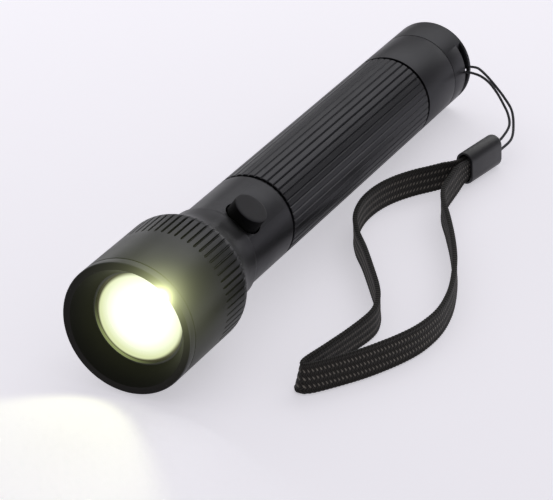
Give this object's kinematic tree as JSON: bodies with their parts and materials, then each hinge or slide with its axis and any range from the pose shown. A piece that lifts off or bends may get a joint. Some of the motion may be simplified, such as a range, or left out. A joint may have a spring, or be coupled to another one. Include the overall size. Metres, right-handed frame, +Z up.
{
  "type": "flashlight",
  "caption": "Sliding-focus aluminium torch with a slotted head, push button, fluted grip, screw tail cap and a wrist strap on a thin cord.",
  "frame": {"origin": "centre of the torch's footprint on the ground it lies on, without its cord and strap", "axes": "+Y from the head to the tail, +Z up, +X to the side that the strap lies on"},
  "size_m": [0.0979, 0.2411, 0.0466],
  "materials": {
    "anodised_black": "black anodised, satin",
    "lens_acrylic": "clear polished acrylic, lit from behind",
    "seal_rubber": "matt black",
    "button_rubber": "matt black",
    "turned_aluminium": "turned, bare",
    "circuit_board": "white solder mask",
    "emitter_yellow": "phosphor yellow under a clear dome",
    "collar_black": "matt black",
    "driver_green": "green solder mask",
    "switch_plastic": "matt black",
    "plunger_plastic": "natural grey",
    "contact_brass": "bright",
    "liner_plastic": "pale grey",
    "cell_jacket": "plain metallic jacket",
    "spring_steel": "nickel plated",
    "ferrule_plastic": "semi-gloss black",
    "cord_nylon": "black braided nylon",
    "strap_webbing": "black woven webbing"
  },
  "bodies": {
    "torch_body": {"switch_housing": "anodised_black", "neck_o_ring": "seal_rubber", "led_pill": "turned_aluminium", "led_board": "circuit_board", "led_emitter": "emitter_yellow", "led_collar": "collar_black", "driver_board": "driver_green", "switch_carrier": "switch_plastic", "switch_body": "switch_plastic", "front_contact": "contact_brass", "battery_tube": "anodised_black", "cell_liner": "liner_plastic", "cell_1": "cell_jacket", "cell_2": "cell_jacket", "cell_3": "cell_jacket"},
    "head": {"bezel_ring": "anodised_black", "lens": "lens_acrylic", "lens_gasket": "seal_rubber", "head_barrel": "anodised_black"},
    "button": {"button_cap": "button_rubber", "switch_plunger": "plunger_plastic"},
    "tail_contact": {"tail_contact_disc": "contact_brass", "tail_spring": "spring_steel"},
    "tail_cap": {"tail_cap": "anodised_black", "tail_o_ring": "seal_rubber", "lanyard_cord": "cord_nylon", "ferrule": "ferrule_plastic", "wrist_strap": "strap_webbing"}
  },
  "joints": [
    {"name": "focus_slide", "type": "slide", "parent": "torch_body", "child": "head", "axis": [0, -0.9994, 0.0335], "range_m": [0, 0.009]},
    {"name": "button_press", "type": "slide", "parent": "torch_body", "child": "button", "axis": [-0.5878, -0.0271, -0.8086], "range_m": [0, 0.002], "stiffness_N_per_m": 500},
    {"name": "tail_travel", "type": "slide", "parent": "torch_body", "child": "tail_contact", "axis": [0, 0.9994, -0.0335], "range_m": [0, 0.009]},
    {"name": "tail_turn", "type": "hinge", "parent": "tail_contact", "child": "tail_cap", "pos_m": [0, 0.10585, 0.01643], "axis": [0, 0.9994, -0.0335], "range_deg": [0, 2160]}
  ],
  "couplings": [
    {"joint": "tail_turn", "follows": "tail_travel", "rad_per_m": 4188.8}
  ]
}
